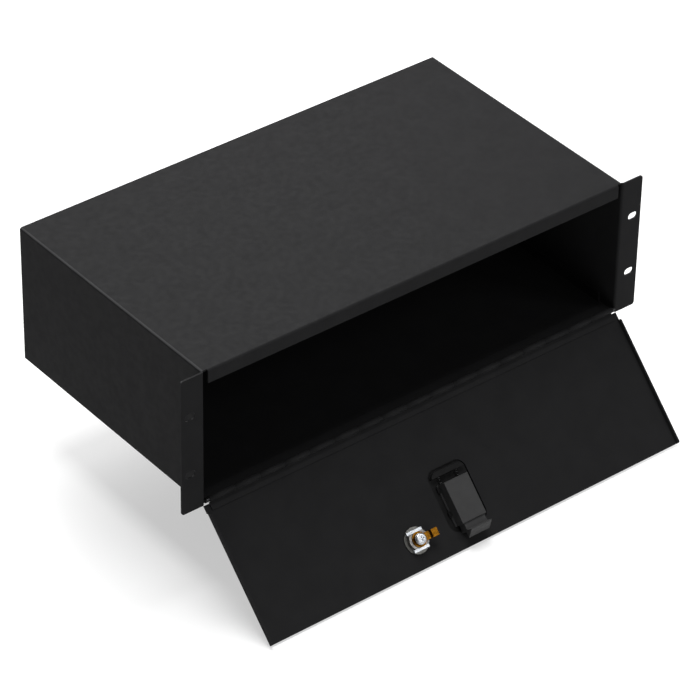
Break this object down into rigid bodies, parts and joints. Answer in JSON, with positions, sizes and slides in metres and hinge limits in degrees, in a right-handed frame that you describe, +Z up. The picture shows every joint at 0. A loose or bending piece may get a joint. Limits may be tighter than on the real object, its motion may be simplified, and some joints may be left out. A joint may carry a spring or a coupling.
{
  "type": "lockable rack box",
  "caption": "Three-unit rack storage box of black sheet steel with a drop-down front door on a piano hinge, a spring slide latch and a keyed cam lock.",
  "frame": {"origin": "centre of the four rack slots on the rear face of the ears, the face that bears on the rack", "axes": "+X to the right as seen from the front, +Y into the rack towards the back of the box, +Z up; the door is drawn open at its open stop"},
  "size_m": [0.4826, 0.3411, 0.221],
  "materials": {
    "black_powder_coat": "fine-textured satin black powder coat on sheet steel",
    "black_hinge_steel": "smooth satin black coat on rolled steel",
    "black_plastic": "satin moulded nylon",
    "bright_steel": "zinc plated",
    "spring_steel": "drawn wire",
    "plated_zinc": "nickel plated die-cast zinc",
    "yellow_zinc": "yellow passivated steel"
  },
  "bodies": {
    "chassis": {"chassis_shell": "black_powder_coat", "floor_panel": "black_powder_coat", "back_panel": "black_powder_coat", "hinge_box_leaf": "black_hinge_steel", "hinge_pin": "bright_steel"},
    "door": {"hinge_door_leaf": "black_hinge_steel", "door_panel": "black_powder_coat", "latch_housing": "black_plastic", "latch_spring_left": "spring_steel", "latch_spring_right": "spring_steel", "lock_barrel": "plated_zinc", "lock_retainer": "bright_steel"},
    "latch": {"latch_slider": "black_plastic"},
    "lock": {"lock_plug": "plated_zinc", "cam_washer": "yellow_zinc", "lock_cam": "yellow_zinc", "screw_washer": "bright_steel", "cam_screw": "bright_steel"}
  },
  "joints": [
    {"name": "door_hinge", "type": "hinge", "parent": "chassis", "child": "door", "pos_m": [0, -0.00225, -0.06135], "axis": [-1, 0, 0], "range_deg": [0, 135]},
    {"name": "latch_slide", "type": "slide", "parent": "door", "child": "latch", "axis": [0, 0.7071, 0.7071], "range_m": [0, 0.006], "stiffness_N_per_m": 600, "springref_m": -0.004, "deforming": ["latch_spring_left", "latch_spring_right"]},
    {"name": "lock_turn", "type": "hinge", "parent": "door", "child": "lock", "pos_m": [-0.0558, -0.07275, -0.13666], "axis": [0, 0.7071, -0.7071], "range_deg": [0, 90]}
  ]
}
